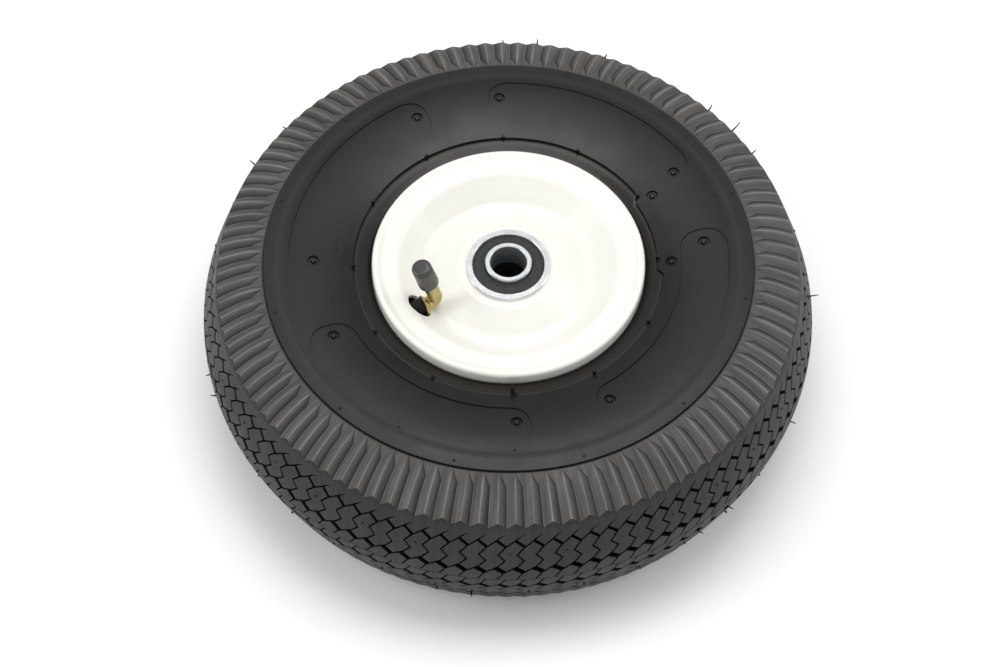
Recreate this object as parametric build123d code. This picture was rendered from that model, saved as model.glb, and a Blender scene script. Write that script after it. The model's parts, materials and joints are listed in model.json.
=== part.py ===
from build123d import *
import math
import os

# ---------------------------------------------------------------------------
# Pneumatic cart wheel, 4.10/3.50-4 size, lying flat with its valve side up.
# Frame: origin at the wheel's centre (middle of the axle bore), +Z along the
# axle towards the valve side.  All lengths in millimetres.
# ---------------------------------------------------------------------------

# axle and bearings (5/8 in axle, 1-3/8 in bearing, 3 in over the hub)
BORE_R = 15.875 / 2
HUB_LEN = 76.2
BRG_OD_R = 34.925 / 2
FLANGE_R = 18.4
FLANGE_T = 1.6
FLANGE_TOP = 36.325
BRG_W = 11.1125
BALL_D = 5.953
BALL_N = 8
PITCH_R = 12.7
RACE_R = 3.10
INNER_SHOULDER_R = 10.9
INNER_NOSE_R = 10.13
OUTER_SHOULDER_R = 14.5
SEAL_SEAT_R = 15.6
SEAL_T = 1.1
RUN = 0.12                      # running gap between a seal lip and its ring

# rim
SHEET = 1.6
RIM_R = 59.0
HEM_BOTTOM = 33.025
BARREL_R = 50.8                 # 4 in bead seat
BARREL_T = 2.0
HUB_TUBE_R = 19.05

# tyre
TYRE_R = 134.5
CROWN_FLAT = 7.0                # the tread is flat in the middle and falls off
CROWN_SLOPE = 0.35              # to both sides at this slope,
CROWN_SOFT = 5.0                # with a soft change between the two
EDGE_Z = 31.325                 # half width of the tread
FLUTE_R, FLUTE_Z = 106.5, 40.225  # inner end of the fluted shoulder
SIDE_MAX_R, SIDE_MAX_Z = 92.0, 41.625
TUBE_T = 1.7                    # inner tube's wall

# valve: a bent brass stem in the radial plane at VALVE_DEG
VALVE_DEG = 208.2
STEM_Z = 32.425                   # height of the radial leg
STEM_BEND_R = 34.6              # where the two legs' centre lines cross
STEM_TILT = 13.5                # the upper leg leans outwards
STEM_R = 3.1
COLLAR_R = 4.4                  # foot of the stem, outside the neck
FOOT_R = 3.9                    # its cone starts at this radius
STEM_BEND = 3.5
THREAD_R = 3.75
CAP_FROM, CAP_TO = 16.3, 30.4   # along the upper leg
STEM_TIP = 27.2
HOLE_R = 6.1
NECK_R = 3.7                    # rubber-covered root of the stem
NECK_Z = 20.825                 # where it passes through the barrel
NECK_MID_R = 45.0
AIR_R = 1.2

os.makedirs("parts", exist_ok=True)


# ---------------------------------------------------------------------------
# section helpers: every section is drawn in (r, z) and turned about the axle
# ---------------------------------------------------------------------------
def p3(p):
    return (p[0], 0.0, p[1])


def turned(section):
    """The section's edges, closed to a face and turned a full round about the axle."""
    face = make_face(section).face()
    solid = revolve(face, Axis.Z, 360)
    return solid if solid.volume > 0 else revolve(-face, Axis.Z, 360)


def poly(*pts):
    return turned(Polyline(*[p3(p) for p in pts], close=True))


def path(pts, radii):
    """Straight runs joined by tangent arcs: ('line', a, b) or ('arc', a, b, centre, signed radius)."""
    out, here = [], pts[0]
    for i in range(1, len(pts) - 1):
        a, b, c = pts[i - 1], pts[i], pts[i + 1]
        u = (b[0] - a[0], b[1] - a[1])
        v = (c[0] - b[0], c[1] - b[1])
        lu, lv = math.hypot(*u), math.hypot(*v)
        u, v = (u[0] / lu, u[1] / lu), (v[0] / lv, v[1] / lv)
        cross, dot = u[0] * v[1] - u[1] * v[0], u[0] * v[0] + u[1] * v[1]
        turn = math.atan2(cross, dot)
        r = radii[i - 1]
        t = r * math.tan(abs(turn) / 2)
        s = (b[0] - u[0] * t, b[1] - u[1] * t)
        e = (b[0] + v[0] * t, b[1] + v[1] * t)
        side = 1 if turn > 0 else -1
        centre = (s[0] - u[1] * r * side, s[1] + u[0] * r * side)
        out.append(("line", here, s))
        out.append(("arc", s, e, centre, r * side))
        here = e
    out.append(("line", here, pts[-1]))
    return out


def moved(segments, d):
    """The same path shifted by d to its left."""
    out = []
    for s in segments:
        if s[0] == "line":
            a, b = s[1], s[2]
            n = math.hypot(b[0] - a[0], b[1] - a[1])
            nx, ny = -(b[1] - a[1]) / n, (b[0] - a[0]) / n
            out.append(("line", (a[0] + nx * d, a[1] + ny * d), (b[0] + nx * d, b[1] + ny * d)))
        else:
            _, a, b, c, r = s
            k = (r - d) / r
            f = lambda p: (c[0] + (p[0] - c[0]) * k, c[1] + (p[1] - c[1]) * k)
            out.append(("arc", f(a), f(b), c, r - d))
    return out


def drawn(segments):
    edges = []
    for s in segments:
        if s[0] == "line":
            edges.append(Line(p3(s[1]), p3(s[2])))
        else:
            _, a, b, c, r = s
            m = ((a[0] + b[0]) / 2 - c[0], (a[1] + b[1]) / 2 - c[1])
            n = math.hypot(*m)
            m = (c[0] + m[0] / n * abs(r), c[1] + m[1] / n * abs(r))
            edges.append(ThreePointArc(p3(a), p3(m), p3(b)))
    return edges


def sheet(pts, radii, left):
    """A pressed sheet: the face follows pts, the other side lies `left` to its left."""
    one = path(pts, radii)
    two = moved(one, left)
    edges = drawn(one) + drawn(two)
    edges += [Line(p3(one[0][1]), p3(two[0][1])), Line(p3(one[-1][2]), p3(two[-1][2]))]
    return turned(edges)


def flipped(shape):
    return mirror(shape, about=Plane.XY)


def keep(name, shape):
    shape.label = name
    export_step(shape, f"parts/{name}.step")
    print(name, len(shape.solids()), round(shape.volume, 1))


# ---------------------------------------------------------------------------
# tyre: beads, sidewalls, fluted shoulders and a gently crowned tread
# ---------------------------------------------------------------------------
def crown_r(z):
    def fall(x):
        return CROWN_SLOPE * (math.hypot(x - CROWN_FLAT, CROWN_SOFT) + x - CROWN_FLAT) / 2

    return TYRE_R - fall(abs(z)) + fall(0)


side = [
    (59.6, 34.225), (62.4, 36.025), (67.7, 37.725), (75.0, 39.525), (84.0, 41.075),
    (SIDE_MAX_R, SIDE_MAX_Z), (99.0, 41.275), (FLUTE_R, FLUTE_Z),
]
edge = (crown_r(EDGE_Z), EDGE_Z)
mid_bevel = ((FLUTE_R + edge[0]) / 2 + 0.55, (FLUTE_Z + EDGE_Z) / 2 + 1.1)
bead_top = 32.925
heel = (53.4, bead_top)
toe = (BARREL_R + 0.05, 27.825)
cavity = [
    (51.3, 27.4), (54.0, 27.4), (58.5, 28.7), (65.0, 31.4), (74.0, 34.4), (86.0, 36.3),
    (97.0, 35.8), (107.0, 32.9), (115.0, 27.2), (120.3, 19.5), (123.2, 10.0), (124.2, 0.0),
]


def up(p):
    return p3(p)


def down(p):
    return (p[0], 0.0, -p[1])


tyre_edges = []
for at in (up, down):
    tyre_edges += [
        ThreePointArc(at(edge), at(mid_bevel), at((FLUTE_R, FLUTE_Z))),
        Spline(*[at(p) for p in reversed(side)]),
        Line(at(side[0]), at((59.35, bead_top))),
        Line(at((59.35, bead_top)), at(heel)),
        ThreePointArc(at(heel), at((51.55, bead_top - 0.75)), at((toe[0], bead_top - 2.5))),
        Line(at((toe[0], bead_top - 2.5)), at(toe)),
        Line(at(toe), at(cavity[0])),
    ]
crown_z = [EDGE_Z * k / 6 for k in range(6, -7, -1)]
tyre_edges.append(Spline(*[p3((crown_r(z), z)) for z in crown_z]))
tyre_edges.append(Spline(*[up(p) for p in cavity], *[down(p) for p in reversed(cavity[:-1])]))
tyre = turned(tyre_edges)

# ---------------------------------------------------------------------------
# inner tube: a closed hose that fills the tyre's cavity on the rim barrel
# ---------------------------------------------------------------------------
def shrunk(pts, d):
    out = []
    for i, p in enumerate(pts):
        a, b = pts[i - 1], pts[(i + 1) % len(pts)]
        t = (b[0] - a[0], b[1] - a[1])
        n = math.hypot(*t)
        out.append((p[0] - t[1] / n * d, p[1] + t[0] / n * d))
    return out


half = [
    (51.2, 9.0), (51.2, 16.0), (51.6, 22.2), (53.9, 25.5), (58.4, 27.6), (65.0, 30.3), (74.0, 33.4),
    (86.0, 35.3), (96.6, 34.8), (106.4, 32.0), (114.2, 26.5), (119.4, 19.1), (122.3, 9.8),
]
ring = [(51.2, 0.0)] + [(r, -z) for r, z in half] + [(123.3, 0.0)] + half[::-1]


def hose_section(pts):
    far = len(half) + 1
    low = Spline(*[p3(p) for p in pts[: far + 1]], tangents=[(0, 0, -1), (0, 0, 1)])
    high = Spline(*[p3(p) for p in pts[far:] + pts[:1]], tangents=[(0, 0, 1), (0, 0, -1)])
    return [low, high]


tube_full = turned(hose_section(ring))
tube_air = turned(hose_section(shrunk(ring, TUBE_T)))

# ---------------------------------------------------------------------------
# rim: a rolled barrel with two flanges, closed by two pressed face discs whose
# edges are rolled down over the flanges, on a plain hub tube
# ---------------------------------------------------------------------------
fl_r, fl_z = RIM_R - SHEET, HEM_BOTTOM
barrel = sheet(
    [(fl_r, fl_z), (BARREL_R, fl_z), (BARREL_R, -fl_z), (fl_r, -fl_z)],
    [1.6, 1.6],
    -BARREL_T,
)

BOSS_Z = FLANGE_TOP - FLANGE_T
disc_pts = [
    (BRG_OD_R, BOSS_Z), (21.8, BOSS_Z), (33.2, 27.825), (38.0, 27.825), (47.8, 38.125),
    (54.6, 38.125), (RIM_R, 41.175), (RIM_R, HEM_BOTTOM),
]
disc = sheet(disc_pts, [2.6, 7.0, 4.0, 4.5, 2.0, 1.7], -SHEET)
disc_back = flipped(disc)
hub_tube = poly(
    (BRG_OD_R, BOSS_Z - SHEET), (HUB_TUBE_R, BOSS_Z - SHEET),
    (HUB_TUBE_R, -BOSS_Z + SHEET), (BRG_OD_R, -BOSS_Z + SHEET),
)

# ---------------------------------------------------------------------------
# flanged ball bearing with an extended inner ring, valve side
# ---------------------------------------------------------------------------
B0 = FLANGE_TOP - BRG_W                      # inner end of the outer ring
BALL_Z = (FLANGE_TOP + B0) / 2
TOP = HUB_LEN / 2

race = Pos(0, 0, BALL_Z) * Torus(PITCH_R, RACE_R)
outer_ring = poly(
    (SEAL_SEAT_R, B0), (BRG_OD_R - 0.6, B0), (BRG_OD_R, B0 + 0.6), (BRG_OD_R, BOSS_Z),
    (FLANGE_R, BOSS_Z), (FLANGE_R, FLANGE_TOP - 0.35), (FLANGE_R - 0.35, FLANGE_TOP),
    (SEAL_SEAT_R + 0.15, FLANGE_TOP), (SEAL_SEAT_R, FLANGE_TOP - 0.15),
    (SEAL_SEAT_R, FLANGE_TOP - 0.3 - SEAL_T), (OUTER_SHOULDER_R, FLANGE_TOP - 0.3 - SEAL_T),
    (OUTER_SHOULDER_R, B0 + 0.3 + SEAL_T), (SEAL_SEAT_R, B0 + 0.3 + SEAL_T),
) - race
inner_ring = poly(
    (BORE_R + 0.3, B0 + 0.5), (INNER_SHOULDER_R - 0.3, B0 + 0.5), (INNER_SHOULDER_R, B0 + 0.8),
    (INNER_SHOULDER_R, 34.125), (INNER_NOSE_R, 34.425), (INNER_NOSE_R, TOP - 0.45),
    (INNER_NOSE_R - 0.45, TOP), (BORE_R + 0.3, TOP), (BORE_R, TOP - 0.3), (BORE_R, B0 + 0.8),
) - race
balls = Part() + [
    Pos(PITCH_R * math.cos(a), PITCH_R * math.sin(a), BALL_Z) * Sphere(BALL_D / 2)
    for a in (2 * math.pi * k / BALL_N for k in range(BALL_N))
]
cage = poly((11.55, BALL_Z - 3.95), (13.85, BALL_Z - 3.95), (13.85, BALL_Z + 1.9), (11.55, BALL_Z + 1.9))
for k in range(BALL_N):
    a = 2 * math.pi * k / BALL_N
    cage -= Pos(PITCH_R * math.cos(a), PITCH_R * math.sin(a), BALL_Z) * Sphere(BALL_D / 2 + 0.14)

s1 = FLANGE_TOP - 0.3
outer_seal = poly(
    (INNER_NOSE_R + RUN, s1 - SEAL_T), (SEAL_SEAT_R, s1 - SEAL_T), (SEAL_SEAT_R, s1 - 0.15),
    (SEAL_SEAT_R - 0.25, s1 + 0.1), (SEAL_SEAT_R - 0.9, s1 + 0.1), (SEAL_SEAT_R - 1.1, s1 - 0.2),
    (11.9, s1 - 0.2), (11.6, s1 + 0.05), (10.7, s1 + 0.05), (INNER_NOSE_R + RUN, s1 - 0.45),
)
s0 = B0 + 0.3
inner_seal = poly(
    (INNER_SHOULDER_R + RUN, s0 + SEAL_T), (SEAL_SEAT_R, s0 + SEAL_T), (SEAL_SEAT_R, s0 + 0.1),
    (SEAL_SEAT_R - 0.9, s0 + 0.1), (SEAL_SEAT_R - 1.1, s0 + 0.3), (INNER_SHOULDER_R + 0.8, s0 + 0.3),
    (INNER_SHOULDER_R + RUN, s0 + 0.6),
)

# ---------------------------------------------------------------------------
# valve: rubber neck, bent brass stem, core with sprung pin, screw cap
# ---------------------------------------------------------------------------
tilt = math.radians(STEM_TILT)
at_valve = Rot(0, 0, VALVE_DEG)              # sections below are drawn at angle zero


def cylinder(a, b, r):
    """A round bar between two (r, z) points of the valve's radial plane."""
    a, b = Vector(a[0], 0, a[1]), Vector(b[0], 0, b[1])
    plane = Plane(origin=a, z_dir=b - a)
    return extrude(plane * Circle(r), (b - a).length)


axis = (math.sin(tilt), math.cos(tilt))
corner = (STEM_BEND_R, STEM_Z)
upper = Plane(origin=(corner[0], 0, corner[1]), x_dir=(math.cos(tilt), 0, -math.sin(tilt)),
              z_dir=(axis[0], 0, axis[1]))


def on_stem(*pts):
    """A turned piece about the upper leg, from (radius, distance along the leg) points."""
    return upper.location * poly(*pts)


# the rubber neck leaves the tube inside the barrel, runs towards the face and
# comes out through the disc's hole, where it holds the brass stem
neck_line = [(53.0, NECK_Z), (NECK_MID_R, NECK_Z), (NECK_MID_R, STEM_Z), (41.3, STEM_Z)]
neck_to = neck_line[-1]


def hose(pts, r):
    out = Part()
    for a, b in zip(pts, pts[1:]):
        out += cylinder(a, b, r)
    for p in pts[1:-1]:
        out += Pos(p[0], 0, p[1]) * Sphere(r)
    return out


neck = hose(neck_line, NECK_R) - tube_full
stem_in = (44.2, STEM_Z)
neck -= cylinder(stem_in, (40.0, STEM_Z), STEM_R)
neck -= hose(neck_line[:3] + [stem_in], AIR_R)

bend = math.radians(90 + STEM_TILT)
tang = STEM_BEND * math.tan(bend / 2)
a0 = (corner[0] + tang, corner[1])
a1 = (corner[0] + axis[0] * tang, corner[1] + axis[1] * tang)
centre = (a0[0], a0[1] + STEM_BEND)
mid = ((a0[0] + a1[0]) / 2 - centre[0], (a0[1] + a1[1]) / 2 - centre[1])
mid = (centre[0] + mid[0] / math.hypot(*mid) * STEM_BEND, centre[1] + mid[1] / math.hypot(*mid) * STEM_BEND)


def elbow(r):
    arc = ThreePointArc(p3(a0), p3(mid), p3(a1))
    return sweep(Plane(origin=p3(a0), z_dir=(-1, 0, 0)) * Circle(r), path=arc)


stem = cylinder(stem_in, a0, STEM_R) + elbow(STEM_R)
stem += on_stem((0, tang), (STEM_R, tang), (STEM_R, CAP_FROM - 0.2), (THREAD_R, CAP_FROM + 0.5),
                (THREAD_R, STEM_TIP - 0.5), (THREAD_R - 0.5, STEM_TIP), (0, STEM_TIP))
stem += cylinder(neck_to, (neck_to[0] - 0.8, STEM_Z), COLLAR_R)
foot = Plane(origin=(neck_to[0] - 0.8, 0, STEM_Z), x_dir=(0, 1, 0), z_dir=(-1, 0, 0))
stem += foot.location * Cone(FOOT_R, STEM_R, neck_to[0] - 0.8 - a0[0], align=(Align.CENTER, Align.CENTER, Align.MIN))
stem -= cylinder((stem_in[0] + 1, STEM_Z), a0, AIR_R)
stem -= elbow(AIR_R)
stem -= on_stem((0, tang), (AIR_R, tang), (AIR_R, 14.6), (2.55, 15.6), (2.55, STEM_TIP + 1), (0, STEM_TIP + 1))

core_body = on_stem(
    (0.8, 18.2), (2.0, 18.2), (2.0, 22.3), (2.55, 22.6), (2.55, 26.0), (0.8, 26.0),
    (0.8, 22.5), (1.55, 22.5), (1.55, 18.9), (0.8, 18.9),
)
core_pin = on_stem(
    (0, 17.0), (0.9, 17.0), (0.9, 17.3), (0.55, 17.3), (0.55, 21.5), (1.3, 21.5), (1.3, 22.2),
    (0.55, 22.2), (0.55, 26.7), (0.35, 26.9), (0, 26.9),
)
core_seal = on_stem((0.55, 17.3), (2.0, 17.3), (2.0, 17.7), (1.7, 18.0), (0.55, 18.0))
coil = Helix(pitch=0.5, height=2.0, radius=1.05)
wire = sweep(Plane(origin=coil @ 0, z_dir=coil % 0) * Circle(0.15), path=coil)
core_spring = upper.location * (Pos(0, 0, 19.2) * wire)

cap = on_stem(
    (4.25, CAP_FROM), (4.5, CAP_FROM + 0.3), (4.5, CAP_FROM + 4.0), (4.3, 28.2), (4.05, 28.35),
    (4.05, 28.75), (4.25, 28.95), (4.2, 29.5), (3.9, 30.0), (3.3, 30.3), (2.2, CAP_TO), (0, CAP_TO),
    (0, 28.3), (3.85, 28.3), (3.85, CAP_FROM),
)
cap_seal = on_stem((0, 27.55), (3.6, 27.55), (3.6, 28.3), (0, 28.3))

# openings for the valve: one in the sloped wall of the disc, one in the barrel
wall_at = (43.2, STEM_Z + 0.84)
wall_n = (-0.725, 0.689)
disc -= at_valve * cylinder(
    (wall_at[0] - wall_n[0] * 6, wall_at[1] - wall_n[1] * 6),
    (wall_at[0] + wall_n[0] * 9, wall_at[1] + wall_n[1] * 9), HOLE_R)
barrel -= at_valve * cylinder((54.0, NECK_Z), (44.0, NECK_Z), NECK_R + 0.8)
tube = tube_full - (tube_air + at_valve * cylinder((55.5, NECK_Z), (48.0, NECK_Z), AIR_R))

# ---------------------------------------------------------------------------
keep("tyre", tyre)
keep("inner_tube", tube)
keep("rim_barrel", barrel)
keep("face_disc_front", disc)
keep("face_disc_back", disc_back)
keep("hub_tube", hub_tube)
for name, shape in (
    ("outer_ring", outer_ring), ("inner_ring", inner_ring), ("balls", balls), ("cage", cage),
    ("outer_seal", outer_seal), ("inner_seal", inner_seal),
):
    keep(f"front_bearing_{name}", shape)
    keep(f"back_bearing_{name}", flipped(shape))
for name, shape in (
    ("valve_neck", neck), ("valve_stem", stem), ("valve_core_body", core_body), ("valve_core_pin", core_pin),
    ("valve_core_seal", core_seal), ("valve_core_spring", core_spring), ("valve_cap", cap),
    ("valve_cap_seal", cap_seal),
):
    keep(name, at_valve * shape)
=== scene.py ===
import json
import math
import random

import bmesh
import bpy
import numpy as np
from mathutils import Matrix, Vector
from mathutils.geometry import delaunay_2d_cdt


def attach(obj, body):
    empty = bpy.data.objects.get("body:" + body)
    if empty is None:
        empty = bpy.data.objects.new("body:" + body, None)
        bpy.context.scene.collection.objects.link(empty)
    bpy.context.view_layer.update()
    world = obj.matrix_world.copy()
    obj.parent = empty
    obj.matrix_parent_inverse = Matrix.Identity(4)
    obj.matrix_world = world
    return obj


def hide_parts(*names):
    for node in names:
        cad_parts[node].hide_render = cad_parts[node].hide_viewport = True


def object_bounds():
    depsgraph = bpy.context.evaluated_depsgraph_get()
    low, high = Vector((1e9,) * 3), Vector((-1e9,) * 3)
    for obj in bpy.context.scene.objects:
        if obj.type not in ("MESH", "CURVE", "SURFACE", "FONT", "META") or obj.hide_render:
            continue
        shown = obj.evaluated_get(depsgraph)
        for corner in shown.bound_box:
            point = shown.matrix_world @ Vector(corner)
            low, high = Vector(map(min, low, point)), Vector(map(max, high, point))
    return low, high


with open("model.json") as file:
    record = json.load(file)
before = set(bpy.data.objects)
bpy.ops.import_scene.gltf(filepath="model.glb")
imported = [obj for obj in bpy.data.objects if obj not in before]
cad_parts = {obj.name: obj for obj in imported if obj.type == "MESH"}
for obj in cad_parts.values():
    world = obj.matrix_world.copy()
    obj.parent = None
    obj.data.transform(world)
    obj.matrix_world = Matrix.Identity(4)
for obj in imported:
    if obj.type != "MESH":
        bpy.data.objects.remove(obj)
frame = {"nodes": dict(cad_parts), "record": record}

BOX_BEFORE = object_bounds()
NODES = frame["nodes"]
MM = 0.001
RNG = random.Random(41)

# ------------------------------------------------------------------ tyre sizes (mm)
N = 104                      # pitches of the tread around the tyre
STEP = 2.0 * math.pi / N
PITCH = 8.065                # one pitch along the crown
THETA0 = math.radians(-89.75)
TREAD_R = 134.5
CROWN_FLAT, CROWN_SLOPE, CROWN_SOFT = 7.0, 0.35, 5.0
GROOVE_DEPTH = 3.0
RIM_DROP = 0.16              # how far the worn edge of a block is rounded down
FLUTE_DEPTH = 1.42
FLUTE_END = 6.2              # length of the sloping end of a flute
FLUTE_LIFT = 0.6


def crown(z):
    fall = lambda x: CROWN_SLOPE * (math.hypot(x - CROWN_FLAT, CROWN_SOFT) + x - CROWN_FLAT) / 2
    return TREAD_R - fall(abs(z)) + fall(0.0)


def circle3(a, b, c):
    (ax, ay), (bx, by), (cx, cy) = a, b, c
    d = 2 * (ax * (by - cy) + bx * (cy - ay) + cx * (ay - by))
    ux = ((ax * ax + ay * ay) * (by - cy) + (bx * bx + by * by) * (cy - ay) + (cx * cx + cy * cy) * (ay - by)) / d
    uy = ((ax * ax + ay * ay) * (cx - bx) + (bx * bx + by * by) * (ax - cx) + (cx * cx + cy * cy) * (bx - ax)) / d
    return ux, uy, math.hypot(ax - ux, ay - uy)


SH_IN, SH_MID, SH_OUT = (106.2, 39.75), (116.89, 36.875), (crown(31.325), 31.325)
SHX, SHY, SHR = circle3(SH_IN, SH_MID, SH_OUT)
SH_A0 = math.atan2(SH_IN[1] - SHY, SH_IN[0] - SHX)
SH_LEN = SHR * abs(math.atan2(SH_OUT[1] - SHY, SH_OUT[0] - SHX) - SH_A0)


def shoulder(t, h):
    """A point of the shoulder at t along its arc from the sidewall, h above it."""
    a = SH_A0 - t / SHR
    return SHX + (SHR + h) * math.cos(a), SHY + (SHR + h) * math.sin(a)


def flute_height(x, t):
    """x runs from -0.5 to 0.5 of a pitch, with the valley at 0 and the crests at the ends."""
    s = 2 * abs(x)
    vee = FLUTE_DEPTH * (1 - s)
    end = FLUTE_DEPTH * max(t, 0.0) / FLUTE_END
    depth = min(vee, end)
    if s > 0.97:
        depth = max(depth, min(0.07, end))
    return FLUTE_LIFT * min(1.0, t / 4.0) - depth


def flute_end_t(x):
    lo, hi = 14.0, 32.0
    for _ in range(60):
        m = 0.5 * (lo + hi)
        r, z = shoulder(m, flute_height(x, m))
        if r < crown(z):
            lo = m
        else:
            hi = m
    return 0.5 * (lo + hi)


def flute_columns(t):
    c = min(0.47, max(0.022, 0.5 * (1 - t / FLUTE_END)))
    half = [0.0, 0.5 * c, c, c + 0.5 * (0.5 - c), 0.5 - 0.13 * (0.5 - c), 0.5]
    return [-v for v in half[:0:-1]] + half


EDGE_X = flute_columns(30.0)
EDGE_T = [flute_end_t(x) for x in EDGE_X]
FLUTE_ROWS = [("t", t) for t in (0.0, 0.5, 1.4, 2.6, 3.9, 5.2, 6.2)] + [("s", s) for s in (0.12, 0.26, 0.42, 0.58, 0.74, 0.88, 1.0)]


def flute_row(kind, value):
    """[(x, r, z)] of one row of a flute."""
    out = []
    if kind == "t":
        for x in flute_columns(value):
            r, z = shoulder(value, flute_height(x, value))
            out.append((x, r, z))
    else:
        for x, te in zip(EDGE_X, EDGE_T):
            t = FLUTE_END + (te - FLUTE_END) * value
            r, z = shoulder(t, flute_height(x, t))
            if value == 1.0:
                r = crown(z)
            out.append((x, r, z))
    return out


FLUTE_GRID = [flute_row(k, v) for k, v in FLUTE_ROWS]
FLUTE_SPLIT = sum(1 for k, _ in FLUTE_ROWS if k == "t") - 1


def flute_shade_and_highlight(row, i, strip_j, j):
    """Tone at grid corner (i, j) of a face in the given row and column: pale lines along the crests and down the
    valley are painted highlights, and the dark first row at the ring and the dark facet beside the valley are painted
    shade.
    """
    mid = len(EDGE_X) // 2
    if mid - 2 <= strip_j <= mid + 1:
        if row < FLUTE_SPLIT:
            return 0.9 if i == 0 else 1.75
        return 3.4 if abs(j - mid) <= 1 else 1.4
    if i == 0:
        return 0.5
    return {-5: 4.2, -4: 2.1, -3: 1.3, -2: 0.25, 2: 1.6, 3: 1.9, 4: 2.3, 5: 4.4}[j - mid]


# ------------------------------------------------------------------ tread cell
# tones multiply the rubber's colour: block edges are paler as a painted highlight, and groove walls, floors and the
# centre line are darker as painted shade
TONE_BLOCK, TONE_RIM_HIGHLIGHT, TONE_WALL_SHADE, TONE_FLOOR_SHADE = 0.54, 1.25, 0.12, 0.04
# A cell is one pitch wide; c runs from -0.5 to 0.5 along it, z across the tyre.


def strip(points, widths):
    """A band around a polyline with mitred corners; a width for each of its legs."""
    pts = [Vector((c * PITCH, z)) for c, z in points]
    left, right = [], []
    dirs = [(pts[i + 1] - pts[i]).normalized() for i in range(len(pts) - 1)]
    norm = [Vector((-d.y, d.x)) for d in dirs]

    def cross(p, d, q, e):
        det = d.x * (-e.y) + e.x * d.y
        if abs(det) < 1e-9:
            return None
        w = q - p
        return p + d * ((w.x * (-e.y) + e.x * w.y) / det)

    for side, out in ((1, left), (-1, right)):
        for i, p in enumerate(pts):
            if i == 0:
                out.append(p + norm[0] * side * widths[0] / 2)
            elif i == len(pts) - 1:
                out.append(p + norm[-1] * side * widths[-1] / 2)
            else:
                a = p + norm[i - 1] * side * widths[i - 1] / 2
                b = p + norm[i] * side * widths[i] / 2
                out.append(cross(a, dirs[i - 1], b, dirs[i]) or 0.5 * (a + b))
    return right + left[::-1]


def taper(a, b, wa, wb):
    p, q = Vector((a[0] * PITCH, a[1])), Vector((b[0] * PITCH, b[1]))
    d = (q - p).normalized()
    n = Vector((-d.y, d.x))
    return [p + n * wa / 2, p - n * wa / 2, q - n * wb / 2, q + d * wb * 0.6, q + n * wb / 2]


def band(upper, widths, grow):
    """A zigzag groove: its upper edge follows the points, and each leg has its own width."""
    pts = [Vector((c * PITCH, z)) for c, z in upper]
    dirs = [(b - a).normalized() for a, b in zip(pts, pts[1:])]
    norm = [Vector((-d.y, d.x)) for d in dirs]

    def edge(offset):
        out = [pts[0] + norm[0] * offset[0]]
        for i in range(1, len(dirs)):
            a, d = pts[i] + norm[i - 1] * offset[i - 1], dirs[i - 1]
            b, e = pts[i] + norm[i] * offset[i], dirs[i]
            w = b - a
            out.append(a + d * ((w.x * e.y - w.y * e.x) / (d.x * e.y - d.y * e.x)))
        return out + [pts[-1] + norm[-1] * offset[-1]]

    return edge([-w - grow / 2 for w in widths]) + edge([grow / 2] * len(dirs))[::-1]


def half_strips(grow):
    """The grooves and slits of the upper half, over three pitches, each wider by grow."""
    out = []
    zig1 = [(-2.5 + 0.5 * i, 24.0 if i % 2 == 0 else 20.6) for i in range(11)]
    zig2 = [(-2.5 + 0.5 * i, 9.3 if i % 2 == 0 else 6.3) for i in range(11)]
    out.append(band(zig1, [1.5 if i % 2 == 0 else 0.8 for i in range(10)], grow))
    out.append(band(zig2, [2.5 if i % 2 == 0 else 0.8 for i in range(10)], grow))
    for k in (-1, 0, 1):
        out.append(taper((-0.5 + k, 23.7), (-0.08 + k, 26.3), 0.85 + grow, 0.2 + grow))
        out.append(strip([(-0.06 + k, 19.7), (-0.45 + k, 15.6), (-0.085 + k, 12.5), (-0.5 + k, 8.5)], [0.74 + grow] * 3))
        out.append(strip([(-0.15 + k, 4.9), (-0.33 + k, 2.2), (-0.47 + k, 0.4)], [0.66 + grow] * 2))
    return out


def both_halves(grow):
    upper = half_strips(grow)
    lower = [[Vector((-p.x - 0.5 * PITCH, -p.y)) for p in poly] for poly in upper]
    return upper + lower + [[Vector((p.x + PITCH, p.y)) for p in poly] for poly in lower]


def dist_to_edges(p, polys):
    best = 1e9
    for poly in polys:
        for i in range(len(poly)):
            a, b = poly[i], poly[(i + 1) % len(poly)]
            ab = b - a
            t = max(0.0, min(1.0, (p - a).dot(ab) / max(ab.length_squared, 1e-12)))
            best = min(best, (p - a - ab * t).length)
    return best


def inside(p, poly):
    odd = False
    for i in range(len(poly)):
        a, b = poly[i - 1], poly[i]
        if (a.y > p.y) != (b.y > p.y) and p.x < (b.x - a.x) * (p.y - a.y) / (b.y - a.y) + a.x:
            odd = not odd
    return odd


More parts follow.
